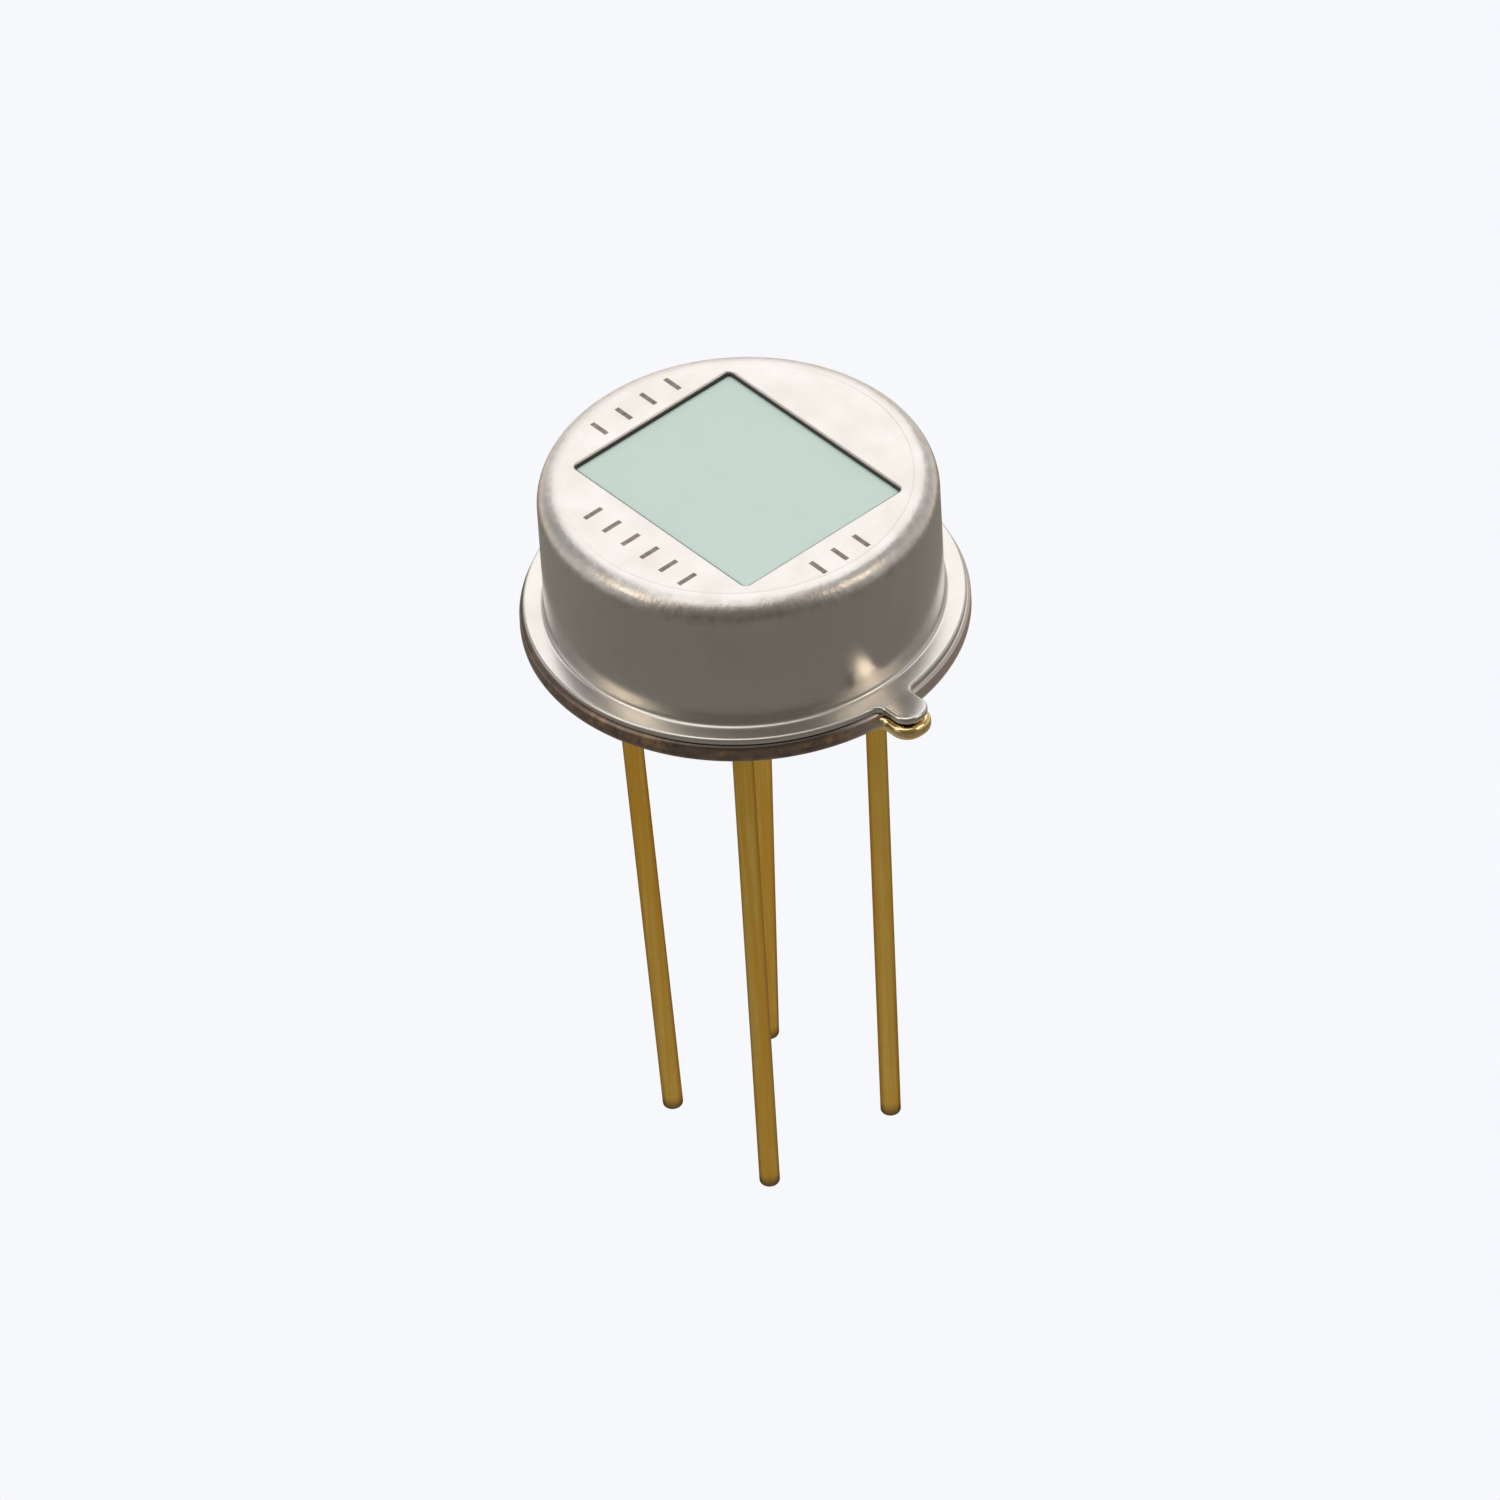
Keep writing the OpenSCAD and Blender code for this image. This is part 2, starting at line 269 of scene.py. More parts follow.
def startGroup(name, inputs, outputs):
    group = bpy.data.node_groups.new(name, "ShaderNodeTree")
    for label, kind, value in inputs:
        socket = group.interface.new_socket(label, in_out="INPUT", socket_type=kind)
        if value is not None:
            socket.default_value = value
    for label in outputs:
        group.interface.new_socket(label, in_out="OUTPUT", socket_type="NodeSocketFloat")
    return group, putNode(group, "NodeGroupInput"), putNode(group, "NodeGroupOutput")


# drawn grain: noise that is stretched along the upright axis
grainNoise = {"Scale": 1, "Detail": 4, "Roughness": 0.6}
grainGroup, groupIn, groupOut = startGroup(
    "drawnGrain",
    [
        ("Vector", "NodeSocketVector", None),
        ("Scale", "NodeSocketFloat", 4000.0),
        ("Stretch", "NodeSocketFloat", 0.1),
        ("Low", "NodeSocketFloat", 0.3),
        ("High", "NodeSocketFloat", 0.7),
    ],
    ["Grain"],
)
along = doMath(grainGroup, "MULTIPLY", groupIn.outputs["Scale"], groupIn.outputs["Stretch"])
scales = putNode(grainGroup, "ShaderNodeCombineXYZ")
across = groupIn.outputs["Scale"]
for axisName, source in (("X", across), ("Y", across), ("Z", along)):
    grainGroup.links.new(source, scales.inputs[axisName])
stretched = putNode(grainGroup, "ShaderNodeVectorMath", operation="MULTIPLY")
grainGroup.links.new(groupIn.outputs["Vector"], stretched.inputs[0])
grainGroup.links.new(scales.outputs[0], stretched.inputs[1])
noise = putNode(grainGroup, "ShaderNodeTexNoise")
for label, value in grainNoise.items():
    noise.inputs[label].default_value = value
grainGroup.links.new(stretched.outputs[0], noise.inputs["Vector"])
even = putNode(grainGroup, "ShaderNodeMapRange")
grainGroup.links.new(noise.outputs["Fac"], even.inputs["Value"])
grainGroup.links.new(groupIn.outputs["Low"], even.inputs["From Min"])
grainGroup.links.new(groupIn.outputs["High"], even.inputs["From Max"])
grainGroup.links.new(even.outputs[0], groupOut.inputs["Grain"])


def grainOf(tree, vector, scale, stretch, low=0.3, high=0.7):
    node = putNode(tree, "ShaderNodeGroup", node_tree=grainGroup)
    tree.links.new(vector, node.inputs["Vector"])
    for label, value in (("Scale", scale), ("Stretch", stretch), ("Low", low), ("High", high)):
        node.inputs[label].default_value = value
    return node.outputs["Grain"]


def newFinish(name, roughness, metallic=0.0):
    look = bpy.data.materials.new(name)
    look.use_nodes = True
    tree = look.node_tree
    shader = tree.nodes["Principled BSDF"]
    shader.inputs["Metallic"].default_value = metallic
    shader.inputs["Roughness"].default_value = roughness
    place = putNode(tree, "ShaderNodeTexCoord").outputs["Object"]
    return look, tree, shader, place


def addBump(tree, shader, height, strength, depth):
    bump = putNode(tree, "ShaderNodeBump")
    bump.inputs["Strength"].default_value = strength
    bump.inputs["Distance"].default_value = depth
    tree.links.new(height, bump.inputs["Height"])
    tree.links.new(bump.outputs[0], shader.inputs["Normal"])


# etched tallies: a row of short plain strokes along X, centred on the pattern's own origin
tallyGroup, groupIn, groupOut = startGroup(
    "tallyRow",
    [
        ("Vector", "NodeSocketVector", None),
        ("Count", "NodeSocketFloat", 4.0),
        ("Pitch", "NodeSocketFloat", 0.6 * mm),
        ("Half Width", "NodeSocketFloat", 0.055 * mm),
        ("Half Height", "NodeSocketFloat", 0.23 * mm),
        ("Soft Edge", "NodeSocketFloat", 0.02 * mm),
    ],
    ["Mask"],
)
spot = axesOf(tallyGroup, groupIn.outputs["Vector"])
pitch = groupIn.outputs["Pitch"]
rowLength = doMath(tallyGroup, "MULTIPLY", groupIn.outputs["Count"], pitch)
halfRow = doMath(tallyGroup, "MULTIPLY", rowLength, 0.5)
halfPitch = doMath(tallyGroup, "MULTIPLY", pitch, 0.5)
fromStart = doMath(tallyGroup, "ADD", spot["X"], halfRow)
inCell = doMath(tallyGroup, "FLOORED_MODULO", fromStart, pitch)
offMiddle = doMath(tallyGroup, "ABSOLUTE", doMath(tallyGroup, "SUBTRACT", inCell, halfPitch), 0)
offRow = doMath(tallyGroup, "ABSOLUTE", spot["Y"], 0)
offEnds = doMath(tallyGroup, "ABSOLUTE", spot["X"], 0)


def fadeOut(value, limit):  # 1 inside the limit, soft to 0 outside it
    past = doMath(tallyGroup, "SUBTRACT", value, limit)
    share = doMath(tallyGroup, "DIVIDE", past, groupIn.outputs["Soft Edge"])
    return spread(tallyGroup, share, -0.5, 0.5, 1.0, 0.0, True)


stroke = doMath(
    tallyGroup, "MULTIPLY", fadeOut(offMiddle, groupIn.outputs["Half Width"]),
    fadeOut(offRow, groupIn.outputs["Half Height"]),
)
inRow = fadeOut(offEnds, halfRow)
tallyGroup.links.new(doMath(tallyGroup, "MULTIPLY", stroke, inRow), groupOut.inputs["Mask"])


def tallyOf(tree, vector, row):
    turned = putNode(tree, "ShaderNodeMapping", vector_type="TEXTURE")
    turned.inputs["Location"].default_value = (*row["centre"], 0)
    turned.inputs["Rotation"].default_value = (0, 0, math.radians(row["turn"]))
    tree.links.new(vector, turned.inputs["Vector"])
    node = putNode(tree, "ShaderNodeGroup", node_tree=tallyGroup)
    tree.links.new(turned.outputs[0], node.inputs["Vector"])
    node.inputs["Count"].default_value = row["count"]
    node.inputs["Pitch"].default_value = row["pitch"]
    return node.outputs["Mask"]


# satin nickel of the drawn cap; a grain is its scale, its stretch and the span of noise that it uses
nickelLook = {
    "bright": (0.705, 0.682, 0.660),
    "dull": (0.667, 0.646, 0.607),
    "stain": (0.642, 0.615, 0.585),
    "worn": (0.575, 0.53, 0.50),  # shoulder, rubbed in handling
    "etched": (0.18, 0.14, 0.11),
    "etchFaint": 0.75,  # least strength of a stroke, where the grain weakens it
    "etchRough": 0.2,
    "rough": (0.19, 0.26),
    "brimRough": 0.08,  # brim and shoulder are this much duller than the wall
    "shoulderRough": 0.13,
    "tabShare": -0.2,  # share of the brim's dullness that the tab takes
    "fineGrain": (9000, 0.12),
    "cloudGrain": (1500, 0.6),
    "stainGrain": (700, 0.8, 0.45, 0.75),
    "wornGrain": (4500, 0.7, 0.45, 0.7),
    "peelGrain": (5200, 0.55),  # draw marks on the shoulder
    "peelDepth": 0.005 * mm,
    "fineShare": 0.05,  # of the peel's depth
    "shoulderZ": (3.05 * mm, 3.3 * mm),
    "crownZ": (3.6 * mm, 3.63 * mm),
    "bendZ": (3.0 * mm, 3.3 * mm),
    "brimZ": (0.6 * mm, 0.85 * mm),
    "tabY": (-4.75 * mm, -4.45 * mm),
    "rows": (
        {"centre": (0.03 * mm, 3.12 * mm), "turn": 0, "count": 4, "pitch": 0.66 * mm},
        {"centre": (-2.80 * mm, -0.2 * mm), "turn": 90, "count": 6, "pitch": 0.57 * mm},
        {"centre": (-0.12 * mm, -3.22 * mm), "turn": 0, "count": 3, "pitch": 0.58 * mm},
    ),
}
nickel, tree, shader, place = newFinish("satinNickel", nickelLook["rough"][0], 1.0)
fine = grainOf(tree, place, *nickelLook["fineGrain"])
cloud = grainOf(tree, place, *nickelLook["cloudGrain"])
stain = grainOf(tree, place, *nickelLook["stainGrain"])
colour = tint(tree, cloud, nickelLook["bright"], nickelLook["dull"])
colour = tint(tree, stain, colour, nickelLook["stain"])
spot = axesOf(tree, place)
height = spot["Z"]
shoulder = doMath(
    tree, "MULTIPLY", spread(tree, height, *nickelLook["shoulderZ"], 0, 1, True),
    spread(tree, height, *nickelLook["crownZ"], 1, 0, True),
)
worn = doMath(tree, "MULTIPLY", grainOf(tree, place, *nickelLook["wornGrain"]), shoulder)
colour = tint(tree, worn, colour, nickelLook["worn"])
etched = None
for row in nickelLook["rows"]:
    mask = tallyOf(tree, place, row)
    etched = mask if etched is None else doMath(tree, "MAXIMUM", etched, mask)
etched = doMath(tree, "MULTIPLY", etched, spread(tree, fine, 0, 1, nickelLook["etchFaint"], 1.0))
tree.links.new(tint(tree, etched, colour, nickelLook["etched"]), shader.inputs["Base Color"])
rough = spread(tree, cloud, 0, 1, *nickelLook["rough"])
brim = spread(tree, height, *nickelLook["brimZ"], nickelLook["brimRough"], 0, True)
smoothTab = spread(tree, spot["Y"], *nickelLook["tabY"], nickelLook["tabShare"], 1, True)
brim = doMath(tree, "MULTIPLY", brim, smoothTab)
bend = spread(tree, height, *nickelLook["bendZ"], 0, nickelLook["shoulderRough"], True)
rough = doMath(tree, "ADD", rough, doMath(tree, "ADD", brim, bend))
rough = doMath(tree, "ADD", rough, doMath(tree, "MULTIPLY", etched, nickelLook["etchRough"]))
tree.links.new(rough, shader.inputs["Roughness"])
peel = doMath(tree, "MULTIPLY", grainOf(tree, place, *nickelLook["peelGrain"]), shoulder)
uneven = doMath(tree, "ADD", peel, doMath(tree, "MULTIPLY", fine, nickelLook["fineShare"]))
addBump(tree, shader, uneven, 1.0, nickelLook["peelDepth"])


# gold plate, streaked along the upright axis
goldLook = {
    "fineGrain": (14000, 0.015),
    "cloudGrain": (2500, 0.3),
    "fineShare": 0.6,
    "bump": 0.2,
    "bumpDepth": 0.003 * mm,
}


def goldFinish(name, tones):
    look, tree, shader, place = newFinish(name, tones["rough"][0], 1.0)
    fine = grainOf(tree, place, *goldLook["fineGrain"])
    cloud = grainOf(tree, place, *goldLook["cloudGrain"])
    share = goldLook["fineShare"]
    streak = doMath(tree, "MULTIPLY", fine, share)
    streak = doMath(tree, "ADD", streak, doMath(tree, "MULTIPLY", cloud, 1 - share))
    colour = tint(tree, streak, tones["bright"], tones["dull"])
    addBump(tree, shader, fine, goldLook["bump"], goldLook["bumpDepth"])
    return look, tree, shader, place, streak, colour


leadLook = {
    "bright": (1.0, 0.72, 0.20),
    "dull": (0.84, 0.55, 0.09),
    "orange": (0.90, 0.53, 0.08),
    "edgeTint": (0.10, 0.12, 0.30),  # the metal darkens where it turns away
    "cut": (0.22, 0.15, 0.08),  # bare metal at the cut ends, and painted shade near the floor
    "cutHeight": 0.42 * mm,
    "rough": (0.36, 0.48),  # varies with the streaks
    "orangeGrain": (6000, 0.012, 0.44, 0.6),
}
gold, tree, shader, place, streak, colour = goldFinish("goldPlate", leadLook)
tree.links.new(spread(tree, streak, 0, 1, *leadLook["rough"]), shader.inputs["Roughness"])
colour = tint(tree, grainOf(tree, place, *leadLook["orangeGrain"]), colour, leadLook["orange"])
shader.inputs["Specular Tint"].default_value = (*leadLook["edgeTint"], 1)
spot = axesOf(tree, place)
cutZ = cadLow.z + leadLook["cutHeight"]
# painted shade: the lowest part of each lead darkens towards the floor, over the bare cut ends
cut = spread(tree, spot["Z"], cadLow.z, cutZ, 1, 0, True)
tree.links.new(tint(tree, cut, colour, leadLook["cut"]), shader.inputs["Base Color"])

# header: gold that the weld has browned round the rim, but not on the tab, with painted shade under the
# brim's edge and painted light on the side past the tab
headerLook = {
    "bright": (1.0, 0.84, 0.52),
    "dull": (0.82, 0.54, 0.15),
    "browned": (0.29, 0.225, 0.185),
    "copper": (0.52, 0.345, 0.21),
    # painted light on the rim past the tab
    "litSide": (0.62, 0.55, 0.52),
    # painted shade under the brim's edge
    "brimShade": (0.11, 0.09, 0.08),
    "soot": (0.15, 0.115, 0.10),
    "rough": (0.11, 0.34),  # clean and browned
    "copperGrain": (1500, 1.0, 0.5, 0.62),
    "sootGrain": (4200, 1.0, 0.46, 0.72),
    "rimR": (4.1 * mm, 4.4 * mm),
    "tabY": (-4.72 * mm, -4.50 * mm),
    "copperZ": (0.12 * mm, 0.22 * mm),
    "brimShadeZ": (0.33 * mm, 0.38 * mm),
    "brimShadeX": (-4.5 * mm, -3.5 * mm),
    "brimShadeShare": (0.5, 1),
    "litSideX": (-1.8 * mm, 0.2 * mm),
}
headerGold, tree, shader, place, _, colour = goldFinish("brownedGold", headerLook)
spot = axesOf(tree, place)
rim = spread(tree, reachOf(tree, place), *headerLook["rimR"], 0, 1, True)
tab = spread(tree, spot["Y"], *headerLook["tabY"], 0, 1, True)
patch = doMath(
    tree, "MULTIPLY", grainOf(tree, place, *headerLook["copperGrain"]),
    spread(tree, spot["Z"], *headerLook["copperZ"], 0, 1, True),
)
browned = tint(tree, patch, headerLook["browned"], headerLook["copper"])
soot = grainOf(tree, place, *headerLook["sootGrain"])
browned = tint(tree, soot, browned, headerLook["soot"])
# painted shade: the top of the rim darkens under the brim, half as much at the far -X side
brimShade = doMath(
    tree, "MULTIPLY", spread(tree, spot["Z"], *headerLook["brimShadeZ"], 0, 1, True),
    spread(tree, spot["X"], *headerLook["brimShadeX"], *headerLook["brimShadeShare"], True),
)
browned = tint(tree, brimShade, browned, headerLook["brimShade"])  # painted shade under the brim's edge, over the rim's top rounding
litSideMask = spread(tree, spot["X"], *headerLook["litSideX"], 0, 1, True)
browned = tint(tree, litSideMask, browned, headerLook["litSide"])  # painted light: the rim paler on the side past the tab
# the browned rim carries the painted shade and painted light with it
aged = doMath(tree, "MULTIPLY", rim, tab)
tree.links.new(tint(tree, aged, colour, browned), shader.inputs["Base Color"])
tree.links.new(spread(tree, aged, 0, 1, *headerLook["rough"]), shader.inputs["Roughness"])


# plain finishes: two tints, grain scale, roughness and how far it varies, bump depth
plainLooks = {
    "mintCoating": {
        "tints": ((0.625, 0.80, 0.75), (0.65, 0.825, 0.78)),
        "scale": 700, "rough": 0.22, "roughSpread": 0.03, "depth": 0.0005 * mm,
    },
    "blackAdhesive": {
        "tints": ((0.012, 0.011, 0.010), (0.03, 0.028, 0.026)),
        "scale": 6000, "rough": 0.45, "roughSpread": 0.06, "depth": 0.004 * mm,
    },
    "beadGlass": {
        "tints": ((0.012, 0.022, 0.030), (0.025, 0.040, 0.050)),
        "scale": 3000, "rough": 0.14, "roughSpread": 0.06, "depth": 0.002 * mm, "coat": 0.6,
    },
    "alumina": {
        "tints": ((0.82, 0.81, 0.77), (0.88, 0.87, 0.84)),
        "scale": 5000, "rough": 0.55, "roughSpread": 0.06, "depth": 0.003 * mm,
    },
    "silverAdhesive": {
        "tints": ((0.42, 0.42, 0.41), (0.56, 0.56, 0.54)),
        "scale": 9000, "rough": 0.4, "roughSpread": 0.06, "depth": 0.005 * mm,
    },
}
plainBump = 0.2


def plainFinish(name):
    values = plainLooks[name]
    rough, roughSpread = values["rough"], values["roughSpread"]
    look, tree, shader, place = newFinish(name, rough)
    grain = grainOf(tree, place, values["scale"], 1.0)
    tree.links.new(tint(tree, grain, *values["tints"]), shader.inputs["Base Color"])
    varied = spread(tree, grain, 0, 1, rough - roughSpread, rough + roughSpread)
    tree.links.new(varied, shader.inputs["Roughness"])
    shader.inputs["Coat Weight"].default_value = values.get("coat", 0)
    addBump(tree, shader, grain, plainBump, values["depth"])
    return look


mint = plainFinish("mintCoating")
blackGlue = plainFinish("blackAdhesive")
sealGlass = plainFinish("beadGlass")
alumina = plainFinish("alumina")
silverGlue = plainFinish("silverAdhesive")

# silicon with the faint grid of its cells
siliconLook = {
    "Color1": (0.020, 0.026, 0.060),
    "Color2": (0.026, 0.033, 0.072),
    "Mortar": (0.16, 0.15, 0.14),
    "cell": 0.05 * mm,
    "gap": 0.06,  # share of a cell
    "rough": (0.1, 0.35),
}
silicon, tree, shader, place = newFinish("silicon", siliconLook["rough"][0])
cells = putNode(tree, "ShaderNodeTexBrick", offset=0.0)
for label in ("Color1", "Color2", "Mortar"):
    cells.inputs[label].default_value = (*siliconLook[label], 1)
cells.inputs["Scale"].default_value = 1 / siliconLook["cell"]
cells.inputs["Mortar Size"].default_value = siliconLook["gap"]
cells.inputs["Brick Width"].default_value = 1
cells.inputs["Row Height"].default_value = 1
tree.links.new(place, cells.inputs["Vector"])
tree.links.new(cells.outputs["Color"], shader.inputs["Base Color"])
varied = spread(tree, cells.outputs["Fac"], 0, 1, *siliconLook["rough"])
tree.links.new(varied, shader.inputs["Roughness"])
print("finishes made")

# cap: drawn sheet, spun skins, punched aperture, brim with the upper layer of the tab
capLow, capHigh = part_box("cap")
windowLow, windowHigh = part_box("window")
capShape = {
    "around": 192,
    "sheet": 0.15 * mm,
    "crownSheet": 0.1 * mm,
    "shoulder": 0.48 * mm,
    "coinDepth": 0.008 * mm,
    "coinWidth": 0.05 * mm,
    "coinSteps": 4,
    "flare": 0.1 * mm,
    "lap": 0.15 * mm,  # window plate behind the aperture's edge
    "corner": 0.12 * mm,
    "cornerSteps": 8,
    "hold": 0.05 * mm,  # flat ring round the aperture
    "punchEdge": 0.04 * mm,
    "punchSteps": 3,
    "rimEdge": 0.062 * mm,
    "rimLower": 0.035 * mm,
    "arcSteps": 14,
}
capTab = {"half": 0.39 * mm, "reach": -capLow.y, "tip": 0.34 * mm, "root": 0.2 * mm, "steps": 10}
barrelR = mounts["cap_barrel"]["dims"]["r_mm"] * mm
sheet = capShape["sheet"]
ceilingZ = capHigh.z - capShape["crownSheet"]
coinZ = capHigh.z - capShape["coinDepth"]  # the crown's flat
brimTopZ = capLow.z + sheet
apertureX = windowHigh.x - capShape["lap"]
apertureY = windowHigh.y - capShape["lap"]
corner, cornerSteps = capShape["corner"], capShape["cornerSteps"]


def capSkin(bm, wall, flare, shoulder, foot, crown, coin=False):  # one side of the sheet
    arcSteps = capShape["arcSteps"]
    pen = startAt(bm, wall + flare, 0, foot)
    pen = turnBy(bm, pen, (wall + flare, 0, foot + flare), sideAxis, 90, arcSteps)
    pen = runTo(bm, pen, wall, 0, crown - shoulder)
    pen = turnBy(bm, pen, (wall - shoulder, 0, crown - shoulder), sideAxis, -90, arcSteps)
    if coin:  # two opposite arcs lead down to the coined flat
        width, depth = capShape["coinWidth"] / 2, capShape["coinDepth"] / 2
        coinSteps = capShape["coinSteps"]
        bow = (width * width + depth * depth) / (2 * depth)
        lean = math.degrees(math.asin(width / bow))
        pen = turnBy(bm, pen, (pen.co.x, 0, crown - bow), sideAxis, -lean, coinSteps)
        turnBy(bm, pen, (pen.co.x - width, 0, coinZ + bow), sideAxis, lean, coinSteps)
    spinRound(bm, capShape["around"])


bm = bmesh.new()
tabOutline(bm, capHigh.y, capTab, capLow.z, capShape["around"])
raisePlate(bm, sheet, capShape["rimLower"], capShape["rimEdge"])
dropFlats(bm)
flare, bend = capShape["flare"], capShape["shoulder"]
capSkin(bm, barrelR, flare, bend, brimTopZ, capHigh.z, True)
capSkin(bm, barrelR - sheet, flare + sheet, bend - sheet, capLow.z, ceilingZ)
fillFlat(bm, openRim(bm, capLow.z))
fillFlat(bm, openRim(bm, brimTopZ))
hold = capShape["hold"]
outer = roundLoop(bm, apertureX + hold, apertureY + hold, corner + hold, coinZ, cornerSteps)
upper = roundLoop(bm, apertureX, apertureY, corner, coinZ, cornerSteps)
lower = roundLoop(bm, apertureX, apertureY, corner, ceilingZ, cornerSteps)
fillFlat(bm, outer + upper)
bmesh.ops.bridge_loops(bm, edges=upper + lower)
bmesh.ops.bevel(
    bm, geom=upper, affect="EDGES", offset=capShape["punchEdge"], segments=capShape["punchSteps"],
    profile=0.5, material=-1,
)
fillFlat(bm, openRim(bm, coinZ))
fillFlat(bm, openRim(bm, ceilingZ))
bringOut("drawnCap", bm, nickel, "nickel", "cap")

# header: coined plate with the lower layer of the tab, raised platform, bored for the leads
headerLow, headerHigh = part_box("header")
headerShape = {
    "around": 192,
    "lowerEdge": 0.1 * mm,
    "tabT": 0.3 * mm,
    "tabEdge": 0.14 * mm,
    "upperEdge": 0.11 * mm,
    "inset": 0.002 * mm,  # the upper disc stays this far inside the plate's edge
    "platformGap": 0.2 * mm,
    "platformEdge": 0.08 * mm,
    "arcSteps": 8,
    "boreSteps": 64,
    "boreDepth": 4 * mm,
}
headerTab = {"half": 0.45 * mm, "reach": -headerLow.y, "tip": 0.4 * mm, "root": 0.2 * mm, "steps": 20}
leadNodes = ("anode", "cathode", "fast_output", "case")
beadNodes = leadNodes[:3]
flangeR = headerHigh.x

plate = bmesh.new()
tabOutline(plate, flangeR, headerTab, headerLow.z, headerShape["around"])
raisePlate(plate, headerShape["tabT"], headerShape["lowerEdge"], headerShape["tabEdge"])

disc = bmesh.new()
edge, arcSteps = headerShape["upperEdge"], headerShape["arcSteps"]
discR = flangeR - headerShape["inset"]
platformR = barrelR - sheet - headerShape["platformGap"]
platformEdge = headerShape["platformEdge"]
pen = startAt(disc, discR, 0, headerShape["tabT"] / 2)
pen = runTo(disc, pen, discR, 0, capLow.z - edge)
pen = turnBy(disc, pen, (discR - edge, 0, capLow.z - edge), sideAxis, -90, arcSteps)
pen = runTo(disc, pen, platformR, 0, capLow.z)
pen = runTo(disc, pen, platformR, 0, headerHigh.z - platformEdge)
turnBy(disc, pen, (platformR - platformEdge, 0, headerHigh.z - platformEdge), sideAxis, -90, arcSteps)
spinRound(disc, headerShape["around"])
for z in (headerShape["tabT"] / 2, headerHigh.z):
    bmesh.ops.contextual_create(disc, geom=openRim(disc, z))

bores = bmesh.new()
for name in leadNodes:
    pin = mounts[name + "_pin"]
    radius = pin["dims"]["r_mm"] * mm
    if name in beadNodes:
        beadLow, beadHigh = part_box(name + "_seal")
        radius = (beadHigh.x - beadLow.x) / 2
    bmesh.ops.create_cone(
        bores, cap_ends=True, segments=headerShape["boreSteps"], radius1=radius, radius2=radius,
        depth=headerShape["boreDepth"],
        matrix=Matrix.Translation(Vector(pin["pos_m"]).xy.to_3d()),
    )
joined = carve(carve(plate, disc, "UNION"), bores, "DIFFERENCE")
bringOut("goldHeader", joined, headerGold, "gold", "header")

# leads: straight through the header, a slight knee, then a leg that leans; tips barely rounded
leadShape = {"around": 48, "tipEdge": 0.08 * mm, "tipSteps": 5}
for name in leadNodes:
    node = name + "_lead"
    pin = mounts[name + "_pin"]
    knee, leg = Vector(pin["pos_m"]), Vector(pin["axis"])
    radius = pin["dims"]["r_mm"] * mm
    leadLow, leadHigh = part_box(node)
    lean = (-upward).rotation_difference(leg)
    mitre = Matrix.Rotation(lean.angle / 2, 3, lean.axis)
    length = (knee.z - leadLow.z - radius * math.sin(lean.angle)) / math.cos(lean.angle)
    bm = bmesh.new()
    bmesh.ops.create_circle(
        bm, cap_ends=True, segments=leadShape["around"], radius=radius,
        matrix=Matrix.Translation((knee.x, knee.y, leadHigh.z)),
    )
    ring = pullFace(bm, bm.faces[:][0], upward * (knee.z - leadHigh.z), True)
    bmesh.ops.rotate(bm, verts=ring.verts[:], cent=knee, matrix=mitre)
    ring = pullFace(bm, ring, leg * length)
    bmesh.ops.rotate(bm, verts=ring.verts[:], cent=knee + leg * length, matrix=mitre)
    bmesh.ops.bevel(
        bm, geom=ring.edges[:], affect="EDGES", offset=leadShape["tipEdge"],
        segments=leadShape["tipSteps"], profile=0.5, material=-1,
    )
    bringOut(name + "Pin", bm, gold, "gold", node)

# glass beads, hollowed a little between lead and bore
beadShape = {"around": 96, "dip": 0.05 * mm, "arcSteps": 10}
for name in beadNodes:
    node = name + "_seal"
    pin = mounts[name + "_pin"]
    centre = Vector(pin["pos_m"]).xy.to_3d()
    beadLow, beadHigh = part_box(node)
    inner, outerR = pin["dims"]["r_mm"] * mm, (beadHigh.x - beadLow.x) / 2
    half, dip = (outerR - inner) / 2, beadShape["dip"]
    bow = (half * half + dip * dip) / (2 * dip)  # radius of the meniscus
    sweep = math.degrees(2 * math.asin(half / bow))
    bm = bmesh.new()
    for z, way in ((beadLow.z, 1), (beadHigh.z, -1)):
        pen = startAt(bm, centre.x + inner, centre.y, z)
        turnBy(
            bm, pen, (centre.x + inner + half, centre.y, z - way * (bow - dip)), sideAxis, way * sweep,
            beadShape["arcSteps"],
        )
    spinRound(bm, beadShape["around"], centre)
    for radius in (inner, outerR):
        bmesh.ops.bridge_loops(bm, edges=[
            e for e in bm.edges
            if e.is_boundary and all(abs((v.co.xy - centre.xy).length - radius) < tiny for v in e.verts)
        ])
    bringOut(name + "Bead", bm, sealGlass, "seal_glass", node)

# window: coated plate with barely broken edges
windowShape = {"edge": 0.02 * mm, "edgeSteps": 2}
windowPlace = Matrix.Translation((windowLow + windowHigh) / 2)
windowSize = Matrix.Diagonal((*(windowHigh - windowLow), 1))
bm = bmesh.new()
bmesh.ops.create_cube(bm, size=1, matrix=windowPlace @ windowSize)
bmesh.ops.bevel(
    bm, geom=bm.edges[:], affect="EDGES", offset=windowShape["edge"],
    segments=windowShape["edgeSteps"], profile=0.5, material=-1,
)
bringOut("coatedWindow", bm, mint, "coated_window", "window")

